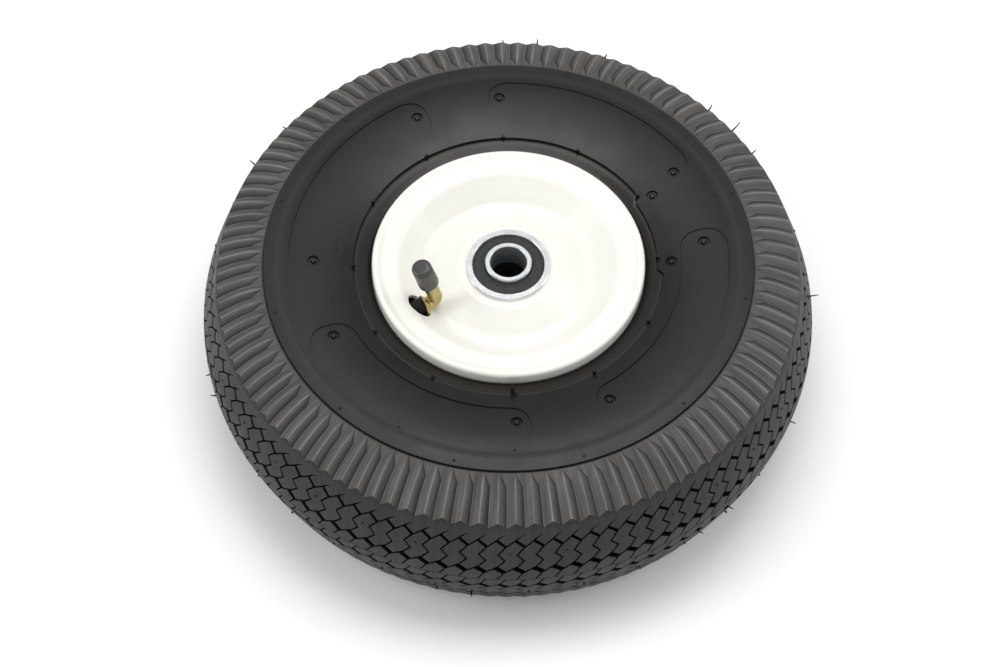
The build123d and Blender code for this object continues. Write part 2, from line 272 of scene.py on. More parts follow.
def tread_cell():
    """One pitch of the tread: [(c, z, depth)], and faces with a tone for each corner."""
    top = []
    for x, te in zip(EDGE_X, EDGE_T):
        r, z = shoulder(te, flute_height(x, te))
        top.append((x, z))
    bottom = []
    for x, z in top:
        bottom.append((x + 0.5, -z) if x <= 0 else (x - 0.5, -z))
        if abs(x) < 1e-12:
            bottom.append((-0.5, -z))
    bottom = sorted(set(bottom))
    outline = [Vector((c * PITCH, z)) for c, z in bottom] + [Vector((c * PITCH, z)) for c, z in reversed(top)]
    narrow, wide = both_halves(0.0), both_halves(0.44)
    verts, faces, edges = [], [], []

    def add(poly):
        base = len(verts)
        verts.extend(poly)
        faces.append(list(range(base, base + len(poly))))

    add(outline)
    for poly in narrow:
        add(poly)
    for poly in wide:
        add(poly)
    for zc in (-0.3, 0.0, 0.3):
        base = len(verts)
        verts.extend([Vector((-0.9 * PITCH, zc)), Vector((0.9 * PITCH, zc))])
        edges.append((base, base + 1))
    for z in np.arange(-29.0, 29.1, 2.9):
        if abs(z) < 0.8:
            continue
        for c in (-0.375, -0.125, 0.125, 0.375):
            p = Vector((c * PITCH, float(z)))
            if dist_to_edges(p, narrow + wide + [outline]) > 0.4:
                verts.append(p)
    co, _, tris, _, _, _ = delaunay_2d_cdt(verts, edges, faces, 0, 1e-6, True)
    tops, floors = [], []
    for tri in tris:
        mid = (co[tri[0]] + co[tri[1]] + co[tri[2]]) / 3
        if not inside(mid, outline):
            continue
        (floors if any(inside(mid, p) for p in narrow) else tops).append(tuple(tri))
    key = lambda i: (round(((co[i].x / PITCH + 0.5) % 1.0) * 4000) % 4000, round(co[i].y * 500))
    on_top = {key(i) for t in tops for i in t}
    on_floor = {key(i) for t in floors for i in t}
    points, index = [], {}

    def vid(i, floor):
        k = (i, floor)
        if k not in index:
            c, z = co[i].x / PITCH, co[i].y
            if floor:
                points.append((c, z, GROOVE_DEPTH))
            elif key(i) in on_floor:
                points.append((c, z, RIM_DROP))
            else:
                points.append((c, z, 0.3 * max(0.0, 1 - abs(z) / 0.3)))
            index[k] = len(points) - 1
        return index[k]

    out = []
    # tops: the small centre groove is painted dark as shade and block edges pale as a painted highlight; walls and
    # floors below get painted shade
    for t in tops:
        out.append((tuple(vid(i, False) for i in t), tuple(0.1 if abs(co[i].y) < 0.02 else TONE_RIM_HIGHLIGHT if key(i) in on_floor else TONE_BLOCK for i in t)))
    for t in floors:
        out.append((tuple(vid(i, True) for i in t), (TONE_FLOOR_SHADE,) * 3))
    floor_edges = {frozenset((t[i], t[(i + 1) % 3])) for t in floors for i in range(3)}
    for t in tops:
        for i in range(3):
            a, b = t[i], t[(i + 1) % 3]
            if frozenset((a, b)) in floor_edges:
                out.append(((vid(b, False), vid(a, False), vid(a, True), vid(b, True)), (TONE_WALL_SHADE, TONE_WALL_SHADE, TONE_FLOOR_SHADE, TONE_FLOOR_SHADE)))
    return points, out


# ------------------------------------------------------------------ sidewalls
SIDE = [(59.6, 34.225), (62.4, 36.025), (67.7, 37.725), (75.0, 39.525), (84.0, 41.075), (92.0, 41.625), (99.0, 41.275), (106.5, 40.225)]
_sr = np.array([p[0] for p in SIDE])
_sz = np.array([p[1] for p in SIDE])
_sm = np.gradient(_sz, _sr)
_sm[0], _sm[-1] = 0.72, -0.19


def side_z(r):
    i = int(np.clip(np.searchsorted(_sr, r) - 1, 0, len(_sr) - 2))
    h = _sr[i + 1] - _sr[i]
    t = (r - _sr[i]) / h
    return float((2 * t**3 - 3 * t**2 + 1) * _sz[i] + (t**3 - 2 * t**2 + t) * h * _sm[i] + (-2 * t**3 + 3 * t**2) * _sz[i + 1] + (t**3 - t**2) * h * _sm[i + 1])


def smooth(a, b, x):
    t = min(1.0, max(0.0, (x - a) / (b - a)))
    return t * t * (3 - 2 * t)


def bead_step_r(alpha):
    """Radius of the step above the bead, with the tab that reaches in towards the rim (degrees)."""
    a = alpha % 360.0
    tab = smooth(265.5, 268.5, a) * (1 - smooth(300.0, 303.0, a))
    return 67.0 - 2.6 * tab


BEAD_DROP = 0.75
RING_LIFT = 0.42
PANEL_DROP = 0.5
SIDE_TONE, RING_TONE, BEAD_TONE = 0.24, 0.40, 0.34
# mould panels, left bare: (from, to) in degrees from the far side, and their two radii
PANELS = [(25.5, 94.0), (115.0, 187.0), (207.5, 281.0), (301.0, 366.5)]
PANEL_R, PANEL_H, PANEL_CORNER = 84.8, 10.3, 8.6
SCREWS = [(3.3, 87.0), (28.8, 86.0), (91.5, 84.0), (118.8, 84.0), (182.9, 82.0), (211.3, 82.5), (276.8, 85.0), (302.9, 86.0), (270.7, 70.3), (299.4, 72.0)]


def panel_sdf(alpha, r, panel):
    a0, a1 = panel
    mid, half = math.radians(0.5 * (a0 + a1)), math.radians(0.5 * (a1 - a0)) * PANEL_R
    d = (math.radians(alpha) - mid + math.pi) % (2 * math.pi) - math.pi
    qx = abs(d * PANEL_R) - (half - PANEL_CORNER)
    qy = abs(r - PANEL_R) - (PANEL_H - PANEL_CORNER)
    return math.hypot(max(qx, 0), max(qy, 0)) + min(max(qx, qy), 0) - PANEL_CORNER


def panel_loop(panel, grow):
    a0, a1 = panel
    mid, half = math.radians(0.5 * (a0 + a1)), math.radians(0.5 * (a1 - a0)) * PANEL_R
    rc = PANEL_CORNER + grow
    bx, by = half - PANEL_CORNER, PANEL_H - PANEL_CORNER
    pts = []
    for qx, qy, start in ((1, 1, 0), (-1, 1, 90), (-1, -1, 180), (1, -1, 270)):
        for i in range(11):
            t = math.radians(start + 9 * i)
            pts.append((qx * bx + rc * math.cos(t), qy * by + rc * math.sin(t)))
    dense = []
    for i, p in enumerate(pts):
        q = pts[(i + 1) % len(pts)]
        n = max(1, int(math.hypot(q[0] - p[0], q[1] - p[1]) / 1.6))
        for k in range(n):
            dense.append((p[0] + (q[0] - p[0]) * k / n, p[1] + (q[1] - p[1]) * k / n))
    return [(math.degrees(mid + x / PANEL_R), PANEL_R + y) for x, y in dense]


def side_relief(alpha, r):
    g = 0.0
    rs = bead_step_r(alpha)
    if r < rs:
        g -= BEAD_DROP * smooth(59.6, 62.5, r)
    if r > 98.0:
        g += RING_LIFT * smooth(98.0, 100.0, r)
    if any(panel_sdf(alpha, r, p) < 0 for p in PANELS):
        g -= PANEL_DROP
    return g


def panel_step_shade(alpha, r):
    """How dark the painted shade along a panel's step is: strong in places and faint in others."""
    w = 0.5 + 0.5 * math.sin(math.radians(alpha) * 5.3 + r * 0.21)
    return 0.12 + 0.6 * w * w


def to_theta(alpha):
    return math.radians(90.0 + alpha)


def sidewall(outer_angles, inner_angles):
    """Flat triangulation of one sidewall: [(theta, r, z, tone)] and faces."""
    verts, edges, data = [], [], []

    def put(theta, r, z, tone=1.0):
        verts.append(Vector((r * math.cos(theta), r * math.sin(theta))))
        data.append((theta, r, z, tone))
        return len(verts) - 1

    def loop(items):
        ids = [put(*it) for it in items]
        edges.extend((ids[i], ids[(i + 1) % len(ids)]) for i in range(len(ids)))
        return ids

    # painted shade where the sidewall meets the flutes
    loop([(th, SH_IN[0], SH_IN[1], 0.2) for th in outer_angles])
    ring = [2 * math.pi * i / 416 for i in range(416)]
    deg = lambda th: math.degrees(th) - 90.0
    # the step from the sidewall's ring down to the flutes: painted dark as shade in its crease, and lighter along its
    # top edge
    loop([(th, 105.7, SH_IN[1] - 0.06, 0.05) for th in ring])
    loop([(th, 105.54, side_z(105.54) + RING_LIFT - 0.16, 0.1) for th in ring])
    loop([(th, 105.45, side_z(105.45) + RING_LIFT - 0.03, 1.25 * RING_TONE) for th in ring])
    loop([(th, 104.8, side_z(104.8) + RING_LIFT, RING_TONE) for th in ring])
    loop([(th, 99.9, side_z(99.9) + RING_LIFT, RING_TONE) for th in ring])
    loop([(th, 98.3, side_z(98.3), SIDE_TONE) for th in ring])
    # the step above the bead: painted shade along its foot, slightly lighter just above it
    loop([(th, bead_step_r(deg(th)) + 0.2, side_z(bead_step_r(deg(th)) + 0.2), 1.1 * SIDE_TONE) for th in ring])
    loop([(th, bead_step_r(deg(th)) - 0.1, side_z(bead_step_r(deg(th)) - 0.1) - BEAD_DROP - 0.25, 0.1) for th in ring])
    loop([(th, bead_step_r(deg(th)) - 0.8, side_z(bead_step_r(deg(th)) - 0.8) - BEAD_DROP, BEAD_TONE) for th in ring])
    # darker towards the rim: painted shade where the tyre tucks under the rim's lip
    for r, tone in ((61.2, 0.6 * BEAD_TONE), (60.6, 0.06)):
        loop([(th, r, side_z(r) - BEAD_DROP * smooth(59.6, 62.5, r), tone) for th in ring])
    loop([(th, 59.6, SIDE[0][1], 0.05) for th in inner_angles])
    # the step around each mould panel is painted dark as shade, stronger in places and fainter in others
    for p in PANELS:
        loop([(to_theta(a), r, side_z(r), SIDE_TONE) for a, r in panel_loop(p, 0.06)])
        loop([(to_theta(a), r, side_z(r) - 0.04, SIDE_TONE * panel_step_shade(a, r)) for a, r in panel_loop(p, 0.045)])
        loop([(to_theta(a), r, side_z(r) - PANEL_DROP, SIDE_TONE * panel_step_shade(a, r)) for a, r in panel_loop(p, -0.06)])
        loop([(to_theta(a), r, side_z(r) - PANEL_DROP, SIDE_TONE) for a, r in panel_loop(p, -0.14)])
    # each screw mark: its ring recess is painted near-black as shade and the pip in its middle pale as a painted
    # highlight
    for a, r in SCREWS:
        base = side_z(r) + side_relief(a, r)
        cx, cy = r * math.cos(to_theta(a)), r * math.sin(to_theta(a))
        for rad, dz, tone in ((2.6, 0.0, SIDE_TONE), (2.3, -0.9, 0.03), (1.2, -0.9, 0.03), (0.8, -0.1, 0.12)):
            items = []
            for i in range(20):
                x, y = cx + rad * math.cos(i * math.pi / 10), cy + rad * math.sin(i * math.pi / 10)
                rr = math.hypot(x, y)
                items.append((math.atan2(y, x), rr, side_z(rr) + side_relief(a, r) + dz, tone))
            loop(items)
        put(to_theta(a), r, base + 0.1, 0.9)
    centres = [(r * math.cos(to_theta(a)), r * math.sin(to_theta(a))) for a, r in SCREWS]
    row = 0
    r = 62.2
    while r < 105.0:
        n = 208
        for i in range(n):
            th = 2 * math.pi * (i + 0.5 * (row % 2)) / n
            al = deg(th)
            rs = bead_step_r(al)
            if rs - 1.5 < r < rs + 0.8 or min(abs(r - 98.3), abs(r - 99.9)) < 0.6:
                continue
            if any(-0.95 < panel_sdf(al, r, p) < 0.95 for p in PANELS):
                continue
            x, y = r * math.cos(th), r * math.sin(th)
            if any(math.hypot(x - cx, y - cy) < 3.3 for cx, cy in centres):
                continue
            put(th, r, side_z(r) + side_relief(al, r), BEAD_TONE if r < rs else (RING_TONE if r > 99.9 else SIDE_TONE))
        r += 1.55
        row += 1
    co, _, tris, orig, _, _ = delaunay_2d_cdt(verts, edges, [], 0, 1e-6, True)
    pts = []
    for i, v in enumerate(co):
        if orig[i]:
            pts.append(data[orig[i][0]])
        else:
            rr, th = v.length, math.atan2(v.y, v.x)
            pts.append((th, rr, side_z(rr) + side_relief(deg(th), rr), SIDE_TONE))
    keep = []
    for t in tris:
        rr = [pts[i][1] for i in t]
        if max(rr) < 59.7:
            continue
        if min(rr) > SH_IN[0] - 0.01:
            continue
        keep.append(tuple(t))
    return pts, keep


BEAD = [(59.6, 34.225), (59.35, 32.925), (53.4, 32.925), (50.85, 27.825), (51.3, 27.4), (54.0, 27.4), (58.5, 28.7), (65.0, 31.4), (74.0, 34.4),
        (86.0, 36.3), (97.0, 35.8), (107.0, 32.9), (115.0, 27.2), (120.3, 19.5), (123.2, 10.0), (124.2, 0.0)]


def build_tyre():
    co, faces, tone = [], [], []

    def point(theta, r, z):
        co.append((r * math.cos(theta), r * math.sin(theta), z))
        return len(co) - 1

    def face(ids, tones):
        faces.append(tuple(ids))
        tone.extend(tones)

    cell, cell_faces = tread_cell()
    for k in range(N):
        base = len(co)
        for c, z, depth in cell:
            point(THETA0 + (k + c) * STEP, crown(z) - depth, z)
        for f, tn in cell_faces:
            face([base + i for i in f], tn)
        # flutes on both shoulders; the lower ones sit half a pitch on
        for sign, shift in ((1, 0.0), (-1, 0.5)):
            rows = [[point(THETA0 + (k + x + shift) * STEP, r, sign * z) for x, r, z in row] for row in FLUTE_GRID]
            for i, (a, b) in enumerate(zip(rows, rows[1:])):
                for j in range(len(a) - 1):
                    quad = (a[j], b[j], b[j + 1], a[j + 1])
                    # flute tones: painted highlights on crests and valley, painted shade at the ring and beside the
                    # valley
                    tn = (flute_shade_and_highlight(i, i, j, j), flute_shade_and_highlight(i, i + 1, j, j), flute_shade_and_highlight(i, i + 1, j, j + 1), flute_shade_and_highlight(i, i, j, j + 1))
                    face(quad if sign > 0 else quad[::-1], tn if sign > 0 else tn[::-1])
    inner = [2 * math.pi * i / 104 for i in range(104)]
    first = [x for x, _, _ in FLUTE_GRID[0]][:-1]
    for sign, shift in ((1, 0.0), (-1, 0.5)):
        outer = [THETA0 + (k + x + shift) * STEP for k in range(N) for x in first]
        if sign > 0:
            pts, tris = sidewall(outer, inner)
        else:
            # the far face carries the same mould: the plate turned over about the X axis
            pts, tris = sidewall([-a for a in outer][::-1], inner)
        base = len(co)
        for th, r, z, _ in pts:
            point(th * sign, r, z * sign)
        for t in tris:
            face([base + i for i in t], [pts[i][3] for i in t])
    lathe = BEAD + [(r, -z) for r, z in BEAD[-2::-1]]
    rows = [[point(th, r, z) for th in inner] for r, z in lathe]
    for a, b in zip(rows, rows[1:]):
        for i in range(len(inner)):
            j = (i + 1) % len(inner)
            face((a[i], a[j], b[j], b[i]), (0.5,) * 4)

    mesh = bpy.data.meshes.new("tyre_moulded")
    mesh.from_pydata((np.array(co) * MM).tolist(), [], faces)
    layer = mesh.attributes.new("tone", "FLOAT", "CORNER")
    layer.data.foreach_set("value", np.array(tone, np.float32))
    bm = bmesh.new()
    bm.from_mesh(mesh)
    bmesh.ops.remove_doubles(bm, verts=bm.verts, dist=0.012 * MM)
    bmesh.ops.dissolve_degenerate(bm, edges=bm.edges, dist=0.004 * MM)
    bmesh.ops.triangulate(bm, faces=bm.faces)
    bmesh.ops.recalc_face_normals(bm, faces=bm.faces)
    open_edges = sum(1 for e in bm.edges if not e.is_manifold)
    volume = bm.calc_volume(signed=True)
    if volume < 0:
        bmesh.ops.reverse_faces(bm, faces=bm.faces)
    print("tyre: triangles", len(bm.faces), "edges not shared by two faces", open_edges, "volume cm3", volume * 1e6)
    bm.to_mesh(mesh)
    bm.free()
    mesh.polygons.foreach_set("use_smooth", [True] * len(mesh.polygons))
    mesh.set_sharp_from_angle(angle=math.radians(26))
    obj = bpy.data.objects.new("tyre_moulded", mesh)
    bpy.context.scene.collection.objects.link(obj)
    return obj


# ------------------------------------------------------------------ vent stubs and hairs
def stub(bm, at, axis, radius, height, seg=10):
    axis = axis.normalized()
    rot = axis.to_track_quat("Z", "Y").to_matrix().to_4x4()
    m = Matrix.Translation(at - axis * 0.6) @ rot
    prof = [(radius, 0.0), (radius, 0.6 + height * 0.55), (radius * 0.72, 0.6 + height * 0.9)]
    rings = []
    for pr, pz in prof:
        rings.append([bm.verts.new(m @ Vector((pr * math.cos(2 * math.pi * i / seg), pr * math.sin(2 * math.pi * i / seg), pz))) for i in range(seg)])
    for a, b in zip(rings, rings[1:]):
        for i in range(seg):
            bm.faces.new((a[i], a[(i + 1) % seg], b[(i + 1) % seg], b[i]))
    tip = bm.verts.new(m @ Vector((0, 0, 0.6 + height)))
    foot = bm.verts.new(m @ Vector((0, 0, 0)))
    for i in range(seg):
        bm.faces.new((rings[-1][i], rings[-1][(i + 1) % seg], tip))
        bm.faces.new((rings[0][(i + 1) % seg], rings[0][i], foot))


def hair(bm, at, axis, bend, length, radius=0.46, seg=6, steps=6):
    axis = axis.normalized()
    path = [at - axis * 0.5 + axis * (length + 0.5) * (i / steps) + bend * length * (i / steps) ** 2 for i in range(steps + 1)]
    rings = []
    for i, p in enumerate(path):
        d = (path[min(i + 1, steps)] - path[max(i - 1, 0)]).normalized()
        q = d.to_track_quat("Z", "Y")
        rr = radius * (1 - 0.55 * i / steps)
        rings.append([bm.verts.new(p + q @ Vector((rr * math.cos(2 * math.pi * j / seg), rr * math.sin(2 * math.pi * j / seg), 0))) for j in range(seg)])
    for a, b in zip(rings, rings[1:]):
        for j in range(seg):
            bm.faces.new((a[j], a[(j + 1) % seg], b[(j + 1) % seg], b[j]))
    bm.faces.new(rings[0][::-1])
    bm.faces.new(rings[-1])


def polar(theta, r, z):
    return Vector((r * math.cos(theta), r * math.sin(theta), z))


def build_vents():
    bm = bmesh.new()
    for sign in (1, -1):
        for i in range(12):
            a = 2.7 + 30 * i + RNG.uniform(-0.6, 0.6)
            rs = bead_step_r(a)
            z = side_z(rs)
            p = polar(to_theta(a), rs + 0.2, z - 0.05)
            if sign < 0:
                p = Vector((p.x, -p.y, -p.z))
            lean = RNG.uniform(0.15, 0.55)
            stub(bm, p, Vector((-lean * p.x / rs, -lean * p.y / rs, sign)), 0.8, RNG.uniform(1.5, 2.9))
        for a in (15, 45, 73.8, 106.7, 138, 168, 198, 225.5, 259, 290, 319, 346):
            p = polar(to_theta(a), 103.4, side_z(103.4) + RING_LIFT)
            if sign < 0:
                p = Vector((p.x, -p.y, -p.z))
            stub(bm, p, Vector((0, 0, sign)), 0.62, 0.5)
        for a, r in ((106, 78), (152.5, 96.6), (182, 96.2), (290.5, 96.5)):
            p = polar(to_theta(a), r, side_z(r) + side_relief(a, r))
            if sign < 0:
                p = Vector((p.x, -p.y, -p.z))
            stub(bm, p, Vector((0, 0, sign)), 0.55, 0.4)
        # stubs on every third block of the outer row
        for k in range(0, N - 2, 3):
            th = THETA0 + (k + (0.16 if sign > 0 else 1.18)) * STEP
            z = sign * 16.2
            tall = 0.3 + 0.5 * RNG.random() ** 2 + (0.5 if sign < 0 else 0.0)
            stub(bm, polar(th, crown(z), z), polar(th, 1.0, 0.3 * sign), 0.46, tall, 8)
    for theta, z, length, lean in HAIRS:
        th = math.radians(theta)
        r = crown(z)
        hair(bm, polar(th, r, z), polar(th, 1.0, 0.25), polar(th + math.radians(lean), 0.35, 0.1), length)
    # one hair on the near bead reaches over the rim's edge
    p = polar(to_theta(182.0), 66.6, side_z(66.6) - 0.2)
    stub(bm, p, Vector((0.0, 0.42, 0.9)), 0.8, 5.6)
    for v in bm.verts:
        v.co *= MM
    bmesh.ops.recalc_face_normals(bm, faces=bm.faces)
    mesh = bpy.data.meshes.new("tyre_vents")
    bm.to_mesh(mesh)
    bm.free()
    layer = mesh.attributes.new("tone", "FLOAT", "CORNER")
    layer.data.foreach_set("value", np.full(len(mesh.loops), 0.14, np.float32))
    mesh.polygons.foreach_set("use_smooth", [True] * len(mesh.polygons))
    mesh.set_sharp_from_angle(angle=math.radians(40))
    obj = bpy.data.objects.new("tyre_vents", mesh)
    bpy.context.scene.collection.objects.link(obj)
    return obj


# hairs left by the mould's vents, at the edge of the tread: angle, z, length (mm) and lean
HAIRS = [(91.6, 31.4, 1.1, 40.0), (84.5, 31.4, 1.8, 10.0), (70.0, 31.2, 1.5, -80.0), (44.8, 30.6, 2.5, 60.0), (37.8, 30.8, 4.0, 35.0),
         (31.3, 29.5, 1.9, 30.0), (359.0, 17.0, 3.6, 5.0), (338.5, -12.0, 2.6, -40.0), (263.8, -20.0, 2.4, 15.0), (257.0, -24.0, 1.4, 50.0),
         (307.8, -8.5, 2.2, 60.0), (296.0, -19.0, 1.4, -40.0), (317.0, -16.0, 1.8, 30.0), (199.0, -4.0, 1.9, -50.0), (195.0, -1.0, 1.4, 40.0),
         (153.8, 30.8, 2.4, -50.0), (143.0, 31.0, 1.2, 30.0)]


# ------------------------------------------------------------------ materials
def new_material(name):
    m = bpy.data.materials.new(name)
    m.use_nodes = True
    nt = m.node_tree
    nt.nodes.clear()
    out = nt.nodes.new("ShaderNodeOutputMaterial")
    bsdf = nt.nodes.new("ShaderNodeBsdfPrincipled")
    nt.links.new(bsdf.outputs["BSDF"], out.inputs["Surface"])
    coord = nt.nodes.new("ShaderNodeTexCoord")
    return m, nt, bsdf, coord.outputs["Object"]


def noise(nt, coord, scale, detail=3.0, rough=0.55, dist=0.0):
    n = nt.nodes.new("ShaderNodeTexNoise")
    n.inputs["Scale"].default_value = scale
    n.inputs["Detail"].default_value = detail
    n.inputs["Roughness"].default_value = rough
    n.inputs["Distortion"].default_value = dist
    nt.links.new(coord, n.inputs["Vector"])
    return n.outputs["Fac"]


def ramp(nt, fac, stops):
    r = nt.nodes.new("ShaderNodeValToRGB")
    els = r.color_ramp.elements
    while len(els) > 1:
        els.remove(els[-1])
    els[0].position, els[0].color = stops[0][0], (*stops[0][1], 1)
    for pos, col in stops[1:]:
        e = els.new(pos)
        e.color = (*col, 1)
    nt.links.new(fac, r.inputs["Fac"])
    return r.outputs["Color"]


def remap(nt, fac, a, b, lo, hi):
    m = nt.nodes.new("ShaderNodeMapRange")
    m.inputs["From Min"].default_value = a
    m.inputs["From Max"].default_value = b
    m.inputs["To Min"].default_value = lo
    m.inputs["To Max"].default_value = hi
    nt.links.new(fac, m.inputs["Value"])
    return m.outputs["Result"]


def times(nt, a, b):
    m = nt.nodes.new("ShaderNodeVectorMath")
    m.operation = "MULTIPLY"
    nt.links.new(a, m.inputs[0])
    nt.links.new(b, m.inputs[1])
    return m.outputs["Vector"]


def bump(nt, bsdf, height, strength, distance):
    b = nt.nodes.new("ShaderNodeBump")
    b.inputs["Strength"].default_value = strength
    b.inputs["Distance"].default_value = distance
    nt.links.new(height, b.inputs["Height"])
    nt.links.new(b.outputs["Normal"], bsdf.inputs["Normal"])


def math_node(nt, op, *vals):
    m = nt.nodes.new("ShaderNodeMath")
    m.operation = op
    for i, v in enumerate(vals):
        if isinstance(v, (int, float)):
            m.inputs[i].default_value = v
        else:
            nt.links.new(v, m.inputs[i])
    return m.outputs["Value"]


def mat_tyre():
    m, nt, b, co = new_material("tyre_rubber")
    sep = nt.nodes.new("ShaderNodeSeparateXYZ")
    nt.links.new(co, sep.inputs[0])
    flat = nt.nodes.new("ShaderNodeCombineXYZ")
    nt.links.new(sep.outputs["X"], flat.inputs["X"])
    nt.links.new(sep.outputs["Y"], flat.inputs["Y"])
    length = nt.nodes.new("ShaderNodeVectorMath")
    length.operation = "LENGTH"
    nt.links.new(flat.outputs[0], length.inputs[0])
    r = length.outputs["Value"]
    # dust lies in streaks that run along the flutes
    along = nt.nodes.new("ShaderNodeCombineXYZ")
    nt.links.new(math_node(nt, "MULTIPLY", math_node(nt, "ARCTAN2", sep.outputs["Y"], sep.outputs["X"]), 62.0), along.inputs["X"])
    nt.links.new(math_node(nt, "MULTIPLY", r, 34.0), along.inputs["Y"])
    nt.links.new(math_node(nt, "MULTIPLY", sep.outputs["Z"], 34.0), along.inputs["Z"])
    outer = remap(nt, r, 0.1056, 0.1072, 0.0, 1.0)
    streak = remap(nt, noise(nt, along.outputs[0], 1.0, 4.0, 0.65), 0.32, 0.68, -0.30, 0.34)
    dust = math_node(nt, "MULTIPLY_ADD", streak, outer, 1.0)
    base = ramp(nt, noise(nt, co, 26.0, 6.0, 0.62), [(0.3, (0.031, 0.031, 0.0315)), (0.55, (0.037, 0.037, 0.037)), (0.75, (0.044, 0.0435, 0.042))])
    tint = ramp(nt, math_node(nt, "MULTIPLY", r, 1.0 / 0.14), [(0.42, (1.10, 1.05, 0.80)), (0.468, (1.06, 1.03, 0.88)), (0.49, (0.96, 0.97, 1.05)), (0.75, (0.97, 0.97, 1.05)), (0.77, (1.03, 1.0, 0.95)), (1.0, (1.0, 1.0, 0.98))])
    at = nt.nodes.new("ShaderNodeAttribute")
    at.attribute_name = "tone"
    nt.links.new(times(nt, times(nt, base, tint), math_node(nt, "MULTIPLY", at.outputs["Fac"], dust)), b.inputs["Base Color"])
    rough = remap(nt, noise(nt, co, 60.0, 4.0), 0.3, 0.7, 0.36, 0.46)
    flute = math_node(nt, "MULTIPLY", outer, remap(nt, math_node(nt, "ABSOLUTE", sep.outputs["Z"]), 0.0285, 0.0300, 0.35, 1.0))
    rough = math_node(nt, "ADD", rough, remap(nt, r, 0.0705, 0.0815, -0.13, 0.0))
    nt.links.new(math_node(nt, "MULTIPLY_ADD", flute, 0.26, rough), b.inputs["Roughness"])
    b.inputs["Specular IOR Level"].default_value = 0.26
    bump(nt, b, noise(nt, co, 1500.0, 3.0), 0.12, 0.0003)
    return m


def mat_rim():
    m, nt, b, co = new_material("rim_paint")
    col = ramp(nt, noise(nt, co, 14.0, 3.0), [(0.3, (0.735, 0.73, 0.675)), (0.7, (0.775, 0.77, 0.725))])
    nt.links.new(col, b.inputs["Base Color"])
    nt.links.new(remap(nt, noise(nt, co, 45.0, 3.0), 0.3, 0.7, 0.44, 0.52), b.inputs["Roughness"])
    b.inputs["Coat Weight"].default_value = 0.35
    b.inputs["Coat Roughness"].default_value = 0.12
    bump(nt, b, noise(nt, co, 260.0, 2.0), 0.05, 0.0004)
    return m


def mat_steel(name, lo, hi, r0, r1, turned, scale=700.0, metal=1.0):
    m, nt, b, co = new_material(name)
    nt.links.new(ramp(nt, noise(nt, co, scale, 3.0), [(0.3, lo), (0.7, hi)]), b.inputs["Base Color"])
    b.inputs["Metallic"].default_value = metal
    nt.links.new(remap(nt, noise(nt, co, scale * 1.7, 3.0), 0.3, 0.7, r0, r1), b.inputs["Roughness"])
    if turned:
        w = nt.nodes.new("ShaderNodeTexWave")
        w.wave_type = "RINGS"
        w.rings_direction = "Z"
        w.inputs["Scale"].default_value = 420.0
        w.inputs["Distortion"].default_value = 0.6
        w.inputs["Detail"].default_value = 2.0
        nt.links.new(co, w.inputs["Vector"])
        bump(nt, b, w.outputs["Fac"], 0.02, 0.0001)
    return m


def mat_stem():
    """Dull brass with a fine thread cut on the upper leg."""
    m, nt, b, co = new_material("stem_brass")
    nt.links.new(ramp(nt, noise(nt, co, 420.0, 4.0, 0.6), [(0.3, (0.40, 0.33, 0.13)), (0.7, (0.58, 0.49, 0.23))]), b.inputs["Base Color"])
    b.inputs["Metallic"].default_value = 1.0
    nt.links.new(remap(nt, noise(nt, co, 600.0, 3.0), 0.3, 0.7, 0.24, 0.38), b.inputs["Roughness"])
    off = nt.nodes.new("ShaderNodeVectorMath")
    off.operation = "SUBTRACT"
    nt.links.new(co, off.inputs[0])
    off.inputs[1].default_value = STEM_CORNER
    dot = nt.nodes.new("ShaderNodeVectorMath")
    dot.operation = "DOT_PRODUCT"
    nt.links.new(off.outputs["Vector"], dot.inputs[0])
    dot.inputs[1].default_value = STEM_AXIS
    d = dot.outputs["Value"]
    mask = math_node(nt, "MULTIPLY", remap(nt, d, 0.0168, 0.0171, 0.0, 1.0), remap(nt, d, 0.0266, 0.0269, 1.0, 0.0))
    wave = math_node(nt, "SINE", math_node(nt, "MULTIPLY", d, 2 * math.pi / 0.00079))
    bump(nt, b, math_node(nt, "MULTIPLY", wave, mask), 0.9, 0.00022)
    return m


def mat_matt(name, lo, hi, r0, r1, scale, grain, spec=0.4):
    m, nt, b, co = new_material(name)
    nt.links.new(ramp(nt, noise(nt, co, scale, 4.0, 0.65), [(0.35, lo), (0.68, hi)]), b.inputs["Base Color"])
    nt.links.new(remap(nt, noise(nt, co, scale * 2.2, 3.0), 0.3, 0.7, r0, r1), b.inputs["Roughness"])
    b.inputs["Specular IOR Level"].default_value = spec
    bump(nt, b, noise(nt, co, grain, 2.0), 0.12, 0.0002)
    return m


VALVE = math.radians(208.2)
STEM_TILT = math.radians(13.5)
STEM_CORNER = (0.0346 * math.cos(VALVE), 0.0346 * math.sin(VALVE), 0.032425)
STEM_AXIS = (math.sin(STEM_TILT) * math.cos(VALVE), math.sin(STEM_TILT) * math.sin(VALVE), math.cos(STEM_TILT))

